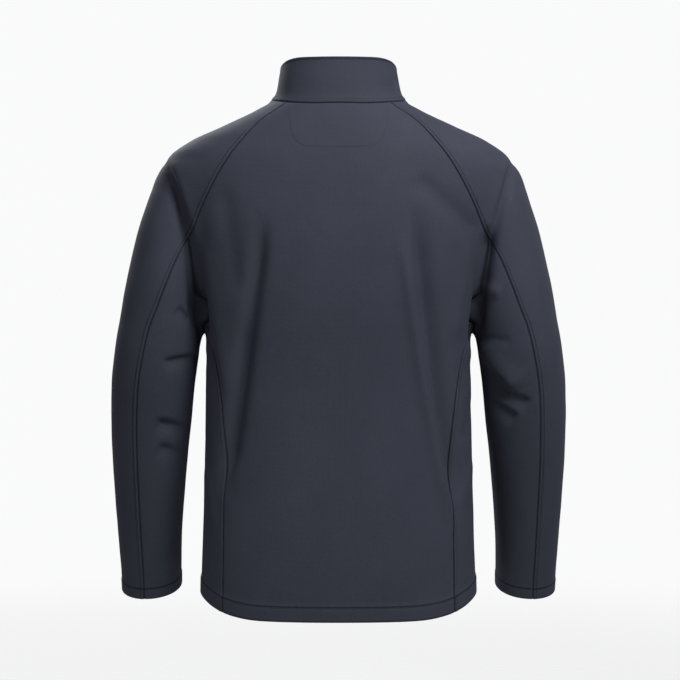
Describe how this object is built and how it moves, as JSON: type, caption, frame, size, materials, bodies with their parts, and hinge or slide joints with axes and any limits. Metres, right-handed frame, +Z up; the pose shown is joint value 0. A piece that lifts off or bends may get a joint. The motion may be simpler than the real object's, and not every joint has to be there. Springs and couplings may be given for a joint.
{
  "type": "softshell jacket",
  "caption": "Plain raglan softshell jacket with a stand collar, full front zip, two-piece sleeves and a dropped back hem, as worn and hollow.",
  "frame": {"origin": "middle of the neck, level with the top ends of the raglan seams behind, where the wearer's neck and shoulders hold the jacket up", "axes": "+X towards the wearer's left, +Y towards the wearer's back, +Z up"},
  "size_m": [0.6394, 0.2589, 0.7631],
  "materials": {
    "softshell": "matte woven face",
    "zip_tape": "matte woven tape",
    "zip_teeth": "satin moulded",
    "zip_metal": "satin enamel"
  },
  "bodies": {
    "jacket": {"back": "softshell", "front_left": "softshell", "front_right": "softshell", "sleeve_upper_left": "softshell", "sleeve_under_left": "softshell", "sleeve_upper_right": "softshell", "sleeve_under_right": "softshell", "collar": "softshell", "zip_tape_left": "zip_tape", "zip_tape_right": "zip_tape", "zip_teeth": "zip_teeth", "zip_box": "zip_teeth", "zip_slider": "zip_metal"},
    "pull": {"zip_pull": "zip_metal"}
  },
  "joints": [
    {"name": "pull_swing", "type": "hinge", "parent": "jacket", "child": "pull", "pos_m": [0, -0.07665, -0.00768], "axis": [-1, 0, 0], "range_deg": [0, 165]}
  ]
}
